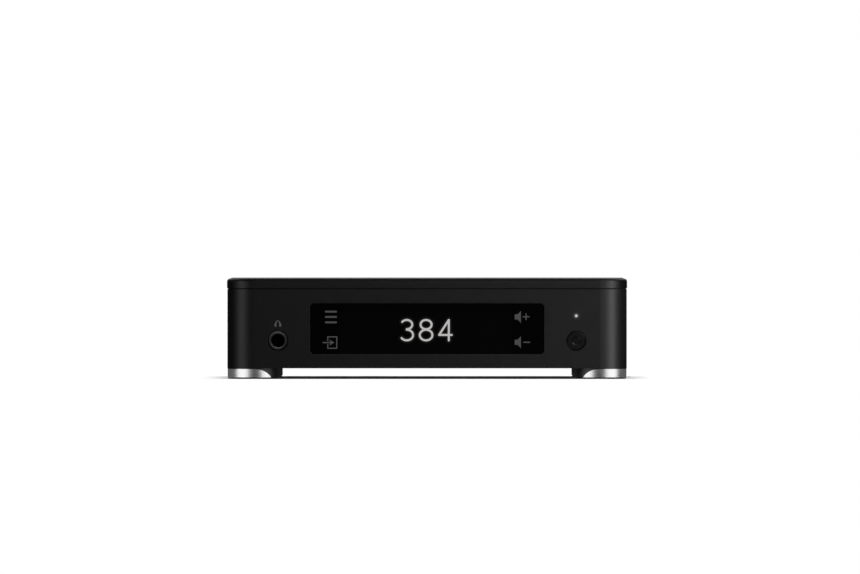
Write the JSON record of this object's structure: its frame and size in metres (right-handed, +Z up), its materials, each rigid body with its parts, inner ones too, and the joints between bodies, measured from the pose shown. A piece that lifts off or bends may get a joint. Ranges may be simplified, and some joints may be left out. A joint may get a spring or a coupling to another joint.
{
  "type": "desktop dac",
  "caption": "Low black aluminium box with rounded corners, a dark touch display, a headphone socket, a power button and two-tone round feet.",
  "frame": {"origin": "on the table, under the middle of the bounding box", "axes": "+X the viewer's right when facing the front, +Y to the back, +Z up; the front faces -Y"},
  "size_m": [0.2, 0.209, 0.0501],
  "materials": {
    "cover_anodised": "fine bead-blasted black anodising, satin",
    "body_anodised": "fine bead-blasted black anodising, satin",
    "rear_anodised": "black anodised sheet, satin",
    "base_painted": "fine-textured black powder coat",
    "shoe_silver": "turned bare aluminium, fine circular lines",
    "core_black": "black anodised, fine turned lines",
    "pad_rubber": "matte black rubber",
    "glass_black": "back-printed black glass, polished",
    "display_dark": "dark display panel",
    "socket_nickel": "polished nickel",
    "button_anodised": "turned, black anodised",
    "light_lens": "clear light pipe with a frosted end",
    "light_chip": "moulded LED",
    "steel_zinc": "zinc plated",
    "steel_black": "black oxide",
    "spring_steel": "bright spring wire",
    "board_laminate": "solder-masked fibreglass board",
    "chip_black": "moulded black package",
    "can_sleeve": "shrink-sleeved aluminium can",
    "relay_plastic": "moulded light plastic",
    "shield_tin": "tinned steel sheet",
    "tape_wrap": "polyester tape wrap",
    "heat_sink": "black anodised extrusion",
    "ribbon_film": "polyester flat cable",
    "socket_black": "moulded black plastic",
    "contact_gold": "gold plated",
    "data_steel": "nickel-plated steel shell",
    "data_white": "moulded light plastic"
  },
  "bodies": {
    "enclosure": {"cover": "cover_anodised", "cover_gasket": "pad_rubber", "chassis": "body_anodised", "base_plate": "base_painted", "rear_panel": "rear_anodised", "tie_posts": "steel_zinc", "base_screws": "steel_black", "rear_screws": "steel_black", "foot_pads": "pad_rubber", "foot_screws": "steel_zinc", "display_glass": "glass_black", "touch_boards": "board_laminate", "display_panel": "display_dark", "display_board": "board_laminate", "display_bracket": "steel_zinc", "display_ribbon": "ribbon_film", "front_screws": "steel_zinc", "power_switch": "socket_black", "power_spring": "spring_steel", "control_board": "board_laminate", "status_led": "light_chip", "light_pipe": "light_lens", "jack_bushing": "socket_nickel", "jack_body": "socket_black", "jack_contacts": "socket_nickel", "main_board": "board_laminate", "board_standoffs": "steel_zinc", "board_screws": "steel_zinc", "converter_chip": "chip_black", "receiver_chip": "chip_black", "amplifier_chips": "chip_black", "board_capacitors": "can_sleeve", "output_relays": "relay_plastic", "shield_can": "shield_tin", "transformer": "tape_wrap", "transformer_clamp": "steel_zinc", "supply_board": "board_laminate", "supply_capacitors": "can_sleeve", "supply_heatsink": "heat_sink", "rca_shell_left": "contact_gold", "rca_shell_right": "contact_gold", "rca_shell_coaxial": "contact_gold", "rca_bodies": "socket_black", "rca_contacts": "contact_gold", "optical_housing": "socket_black", "data_shell": "data_steel", "data_tongue": "data_white", "power_inlet": "socket_black", "inlet_blades": "contact_gold", "foot_shoe_front_left": "shoe_silver", "foot_core_front_left": "core_black", "foot_shoe_front_right": "shoe_silver", "foot_core_front_right": "core_black", "foot_shoe_rear_left": "shoe_silver", "foot_core_rear_left": "core_black", "foot_shoe_rear_right": "shoe_silver", "foot_core_rear_right": "core_black"},
    "power_button": {"power_cap": "button_anodised", "power_plunger": "data_white"},
    "shutter": {"optical_shutter": "chip_black"}
  },
  "joints": [
    {"name": "power_press", "type": "slide", "parent": "enclosure", "child": "power_button", "axis": [0, 1, 0], "range_m": [0, 0.0012], "stiffness_N_per_m": 300, "springref_m": -0.002, "deforming": ["power_spring"]},
    {"name": "shutter_swing", "type": "hinge", "parent": "enclosure", "child": "shutter", "pos_m": [-0.011, 0.0951, 0.021], "axis": [-1, 0, 0], "range_deg": [0, 85], "stiffness_Nm_per_rad": 0.0001, "springref_deg": -20.05}
  ]
}
